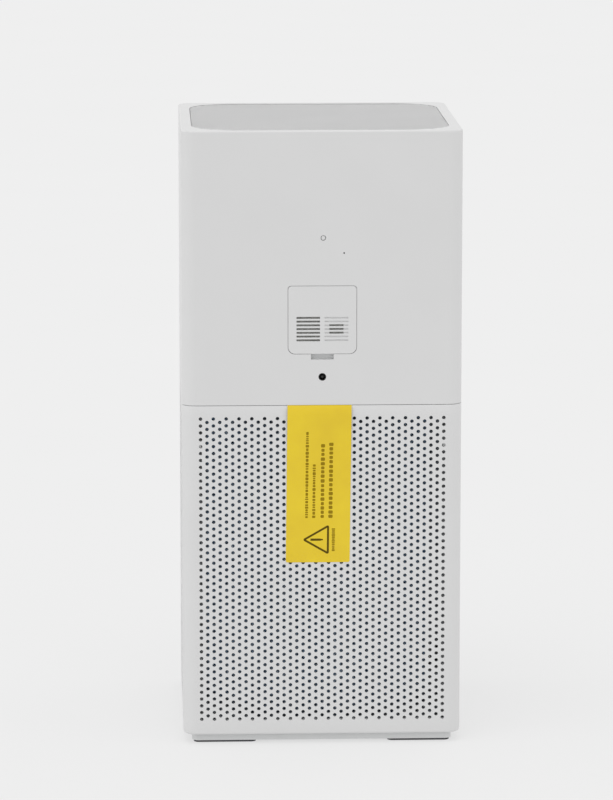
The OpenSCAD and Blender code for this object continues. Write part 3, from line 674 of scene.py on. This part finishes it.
def notice_tag():
    """A strip of film that comes out of the seam, bows over the door's edge and hangs down it."""
    width, length = TAG_RIGHT - TAG_LEFT, TAG_HIGH.z - TAG_LOW.z
    bpy.ops.mesh.primitive_grid_add(x_subdivisions=10, y_subdivisions=90, size=1)
    strip = bpy.context.object
    strip.scale = (width, length, 1)
    strip.rotation_euler = (math.pi / 2, 0, 0)
    strip.location = ((TAG_LEFT + TAG_RIGHT) / 2, 0, (TAG_LOW.z + TAG_HIGH.z) / 2)
    bpy.ops.object.transform_apply()
    for vertex in strip.data.vertices:
        vertex.co.y = film_face(vertex.co.z)
    open_piece(strip)
    pull(strip, lambda c: near(c.z, TAG_HIGH.z), (0, 2.2 * MM, 0))
    pick(strip, "VERT", lambda v: near(v.co.z, TAG_LOW.z)
         and (near(v.co.x, TAG_LEFT) or near(v.co.x, TAG_RIGHT)))
    bpy.ops.mesh.bevel(offset=1.5 * MM, segments=4, affect="VERTICES")
    bpy.ops.mesh.select_all(action="SELECT")
    bpy.ops.mesh.normals_make_consistent(inside=False)
    close_piece()
    middle = min(strip.data.polygons, key=lambda p: p.center.z)
    if middle.normal.y > 0:
        open_piece(strip)
        bpy.ops.mesh.flip_normals()
        close_piece()
    modify(hang_askew(strip), "SOLIDIFY", thickness=FILM, offset=-1)
    settle(strip, "notice_film", "filter_door", film, ["filter_notice_tag"], 50)


def ink_bar(x, z, width, height):
    """A printed bar with rounded ends, lying on the film."""
    steps = max(1, round(height / (3 * MM)))
    bpy.ops.mesh.primitive_grid_add(x_subdivisions=1, y_subdivisions=steps, size=1)
    bar = bpy.context.object
    bar.scale = (width, height, 1)
    bar.rotation_euler = (math.pi / 2, 0, 0)
    bar.location = (x, 0, z)
    bpy.ops.object.transform_apply()
    open_piece(bar)
    pick(bar, "VERT", lambda v: near(abs(v.co.z - z), height / 2)
         and near(abs(v.co.x - x), width / 2))
    bpy.ops.mesh.bevel(offset=min(width, height) * 0.25, segments=2, affect="VERTICES")
    close_piece()
    return bar


def lay_on_film(piece):
    """Bends a flat print to the film's face and gives the ink its thickness."""
    for vertex in piece.data.vertices:
        vertex.co.y = film_face(vertex.co.z) - 0.01 * MM
    return modify(hang_askew(piece), "SOLIDIFY", thickness=INK, offset=0)


def tag_print():
    """Rows of plain dashes where a notice would be, and a plain triangle with a bar in it."""
    dice = random.Random(7)
    bars = []
    # of each row, in mm: its place across, its upper end, its width, its shortest and its longest
    # dash, and the gap between two of them
    rows = ((-12.5, 276.5, 2.9, 1.1, 3.0, 0.6), (-6.3, 247.7, 2.9, 1.1, 3.0, 0.6),
            (1.0, 267.7, 3.6, 2.6, 3.1, 1.0), (8.1, 267.7, 3.9, 2.6, 3.1, 1.0),
            (10.8, 190.8, 3.0, 0.9, 1.6, 0.4))
    for x, top, width, shortest, longest, gap in rows:
        z = ROWS_Z if top * MM > ROWS_Z else SHORT_ROW_Z
        while z < top * MM - shortest * MM:
            height = dice.uniform(shortest, longest) * MM
            breadth = width * MM * dice.uniform(0.7, 1.0)
            bars.append(ink_bar(x * MM, z + height / 2, breadth, height))
            z += height + gap * dice.uniform(0.7, 1.3) * MM
    settle(lay_on_film(join(bars)), "notice_print_rows", "filter_door", text_ink)
    bpy.ops.mesh.primitive_circle_add(vertices=3, radius=SIGN_R, fill_type="NGON",
                                      rotation=(math.pi / 2, 0, 0))
    sign = bpy.context.object
    bpy.ops.object.transform_apply()
    tip = min(sign.data.vertices, key=lambda v: v.co.z).co
    turn = math.atan2(-tip.z, -tip.x)
    sign.rotation_euler = (0, turn, 0)
    bpy.ops.object.transform_apply()
    low = min(v.co.x for v in sign.data.vertices)
    sign.location = (SIGN_LEFT - low, 0, SIGN_Z)
    bpy.ops.object.transform_apply()
    open_piece(sign)
    bpy.ops.mesh.bevel(offset=2.6 * MM, segments=5, affect="VERTICES")
    bpy.ops.mesh.select_mode(type="FACE")
    bpy.ops.mesh.select_all(action="SELECT")
    bpy.ops.mesh.inset(thickness=SIGN_STROKE)
    bpy.ops.mesh.delete(type="FACE")
    close_piece()
    bpy.ops.mesh.primitive_grid_add(x_subdivisions=4, y_subdivisions=1, size=1)
    bar = bpy.context.object
    bar.scale = (10.8 * MM, 2.0 * MM, 1)
    bar.rotation_euler = (math.pi / 2, 0, 0)
    bar.location = (-3.5 * MM, 0, SIGN_Z)
    bpy.ops.object.transform_apply()
    open_piece(bar)
    pick(bar, "VERT", lambda v: v.co.x > 0)
    bpy.ops.transform.resize(value=(1, 1, 0.45), center_override=(0, 0, SIGN_Z))
    close_piece()
    settle(lay_on_film(join([sign, bar])), "notice_print_sign", "filter_door", sign_ink)


# ---------- the prints on the front ----------

def printed_ring(radius, stroke, height, face, gap=0):
    """A flat printed ring on the front, with a gap in its top where one is asked for."""
    bpy.ops.mesh.primitive_circle_add(vertices=72, radius=radius, fill_type="NGON",
                                      rotation=(math.pi / 2, 0, 0), location=(0, face, height))
    ring = bpy.context.object
    bpy.ops.object.transform_apply()
    open_piece(ring)
    bpy.ops.mesh.select_mode(type="FACE")
    bpy.ops.mesh.select_all(action="SELECT")
    bpy.ops.mesh.inset(thickness=stroke)
    bpy.ops.mesh.delete(type="FACE")
    pick(ring, "FACE", lambda f: centre(f).z > height and abs(centre(f).x) < gap / 2)
    bpy.ops.mesh.delete(type="FACE")
    close_piece()
    return ring


def front_prints():
    """A thin ring inside the lens's edge, and the plain on and off sign on the touch key."""
    lens_low, lens_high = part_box("display_lens")
    key_low, key_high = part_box("touch_key")
    lens_z, key_z = (lens_low.z + lens_high.z) / 2, (key_low.z + key_high.z) / 2
    ring = printed_ring(lens_high.x - 8 * MM, 0.8 * MM, lens_z, lens_high.y)
    modify(ring, "SOLIDIFY", thickness=INK, offset=0)
    settle(ring, "display_ring_print", "housing", pale_ink)
    sign = printed_ring(3.4 * MM, 0.6 * MM, key_z, key_high.y, gap=2.6 * MM)
    bpy.ops.mesh.primitive_grid_add(x_subdivisions=1, y_subdivisions=2, size=1)
    bar = bpy.context.object
    bar.scale = (0.6 * MM, 3.2 * MM, 1)
    bar.rotation_euler = (math.pi / 2, 0, 0)
    bar.location = (0, key_high.y, key_z + 2.4 * MM)
    bpy.ops.object.transform_apply()
    sign = modify(join([sign, bar]), "SOLIDIFY", thickness=INK, offset=0)
    settle(sign, "touch_key_print", "housing", pale_ink)


# ---------- the filter's net ----------

def sleeve(around, up, radius, end_gap, scallop=0):
    """A grid rolled up into an open sleeve round the filter. scallop is how far it sinks between
    the tips of the pleats."""
    low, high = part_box("filter_outer_mesh")
    bpy.ops.mesh.primitive_grid_add(x_subdivisions=around, y_subdivisions=up, size=1)
    piece = bpy.context.object
    for vertex in piece.data.vertices:
        angle = (vertex.co.x + 0.5) * math.tau
        reach = high.x - radius + scallop * (math.cos(PLEATS * angle) - 1) / 2
        height = low.z + end_gap + (vertex.co.y + 0.5) * (high.z - low.z - 2 * end_gap)
        vertex.co = (reach * math.cos(angle), reach * math.sin(angle), height)
    open_piece(piece)
    bpy.ops.mesh.remove_doubles(threshold=SAME_PLACE)
    bpy.ops.mesh.normals_make_consistent(inside=False)
    close_piece()
    return piece


def filter_net():
    """The extruded net round the filter, a square mesh of strands, and the fleece under it."""
    net = modify(sleeve(120, 50, 0.6 * MM, 0.6 * MM), "WIREFRAME", thickness=STRAND,
                 use_even_offset=True)
    open_piece(net)
    bpy.ops.mesh.fill_holes(sides=0)
    bpy.ops.mesh.normals_make_consistent(inside=False)
    close_piece()
    settle(net, "filter_net", "filter", net_polypropylene,
           ["filter_outer_mesh"], 60)
    wrap = modify(sleeve(6 * PLEATS, 8, 1.5 * MM, 0.3 * MM, 0.5 * MM), "SOLIDIFY",
                  thickness=0.5 * MM, offset=-1)
    settle(wrap, "filter_fleece", "filter", fleece, ["filter_outer_mesh"])


# ---------- every piece ----------

door()
lower_shell()
shell_bosses()
notice_tag()
tag_print()
front_prints()
filter_net()

soften("upper_housing", "housing", shell_abs, 0.15 * MM, 2, round_outlet)
soften("outlet_grille", "housing", grille_abs_painted_lighter, 0.35 * MM)
soften("sensor_cover", "sensor_cover", shell_abs, 0.12 * MM)
soften("brightness_button", "brightness_button", shell_abs, 0.8 * MM, 4)
soften("base_plate", "housing", plinth_abs, 0.4 * MM)
soften("rubber_feet", "housing", foot_rubber, 0.5 * MM)
soften("touch_key", "housing", shell_abs, 0.3 * MM)
soften("display_lens", "housing", acrylic, 0.25 * MM)
for cad_node in ("left_post", "right_post", "fan_deck", "inlet_guard", "fan_casing", "sensor_bay"):
    soften(cad_node, "housing", inner_abs, 0.3 * MM)
soften("door_frame", "filter_door", inner_abs, 0.3 * MM)
for cad_node in ("filter_bottom_cap", "filter_top_cap"):
    soften(cad_node, "filter", filter_frame_abs, 0.5 * MM)
soften("filter_pull_tab", "filter", tape, 0.25 * MM)
soften("filter_gasket", "filter", gasket_foam, 0.8 * MM, 3)

plain_nodes = {
    inner_abs: ("inlet_ring", "diffuser", "flow_cone"),
    fan_nylon: ("impeller",),
    black_pbt: ("particle_sensor", "dc_jack", "board_parts"),
    zinc_steel: ("base_screws", "deck_screws", "door_strikers", "motor_screws", "board_screws",
                 "impeller_nut", "door_magnets"),
    shaft_steel: ("motor_shaft", "motor_bearings"),
    cast_aluminium: ("motor_housing", "motor_end_cap"),
    laminations: ("stator_core",),
    ferrite: ("rotor_magnet",),
    board_mask: ("button_board", "main_board", "display_board", "humidity_sensor"),
    black_pvc: ("power_harness",),
    white_pvc: ("sensor_harness", "display_harness"),
    gasket_foam: ("casing_seal",),
    dust_foam: ("sensor_dust_foam",),
    paper: ("filter_media",),
    carbon: ("filter_carbon_core",),
}
for material, cad_nodes in plain_nodes.items():
    for cad_node in cad_nodes:
        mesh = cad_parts[cad_node].data
        mesh.materials.clear()
        mesh.materials.append(material)


# ---------- floor, light and camera ----------

def studio():
    """A lighting table in soft, even light, a little more of it from above and from the left."""
    bpy.ops.mesh.primitive_plane_add(size=60)
    floor = bpy.context.object
    floor.name = "lighting_table"
    # opal acrylic: matt, and part of its brightness comes through from below, so shadows stay pale
    material, tree, shader, place = start("opal_acrylic_table", Roughness=1.0,
                                          Specular_IOR_Level=0.0,
                                          Emission_Color=srgb("#FFFFFF"), Emission_Strength=0.6)
    drift = add(tree, "ShaderNodeTexNoise", {"Vector": place, "Scale": 1 / (300 * MM)})
    colour = add(tree, "ShaderNodeMix", {0: drift.outputs["Fac"], 6: srgb("#868686"),
                                         7: srgb("#888888")}, data_type="RGBA")
    tree.links.new(colour.outputs[2], shader.inputs["Base Color"])
    floor.data.materials.append(material)

    world = bpy.data.worlds.new("soft_sky")
    bpy.context.scene.world = world
    world.use_nodes = True
    background = world.node_tree.nodes["Background"]
    background.inputs["Color"].default_value = srgb("#FFFFFF")
    background.inputs["Strength"].default_value = 0.9

    for name, energy, spread, turn in (("overhead_softbox", 0.45, 40, (25, 0, -15)),
                                       ("left_softbox", 0.3, 60, (65, 0, -80)),
                                       ("right_softbox", 0.12, 60, (65, 0, 80))):
        lamp = bpy.data.lights.new(name, "SUN")
        lamp.energy = energy
        lamp.angle = math.radians(spread)
        holder = bpy.data.objects.new(name, lamp)
        holder.rotation_euler = [math.radians(a) for a in turn]
        bpy.context.scene.collection.objects.link(holder)


def camera():
    """Rear view from a little above and to the left, through a long lens."""
    lens = bpy.data.cameras.new("camera")
    lens.lens = 190.3
    lens.clip_end = 100
    holder = bpy.data.objects.new("camera", lens)
    holder.location = (-0.1523, -3.6826, 0.9184)
    holder.rotation_euler = [math.radians(a) for a in (80.20, 0, -2.23)]
    bpy.context.scene.collection.objects.link(holder)
    bpy.context.scene.camera = holder


studio()
camera()
bpy.context.scene.view_settings.view_transform = "Standard"
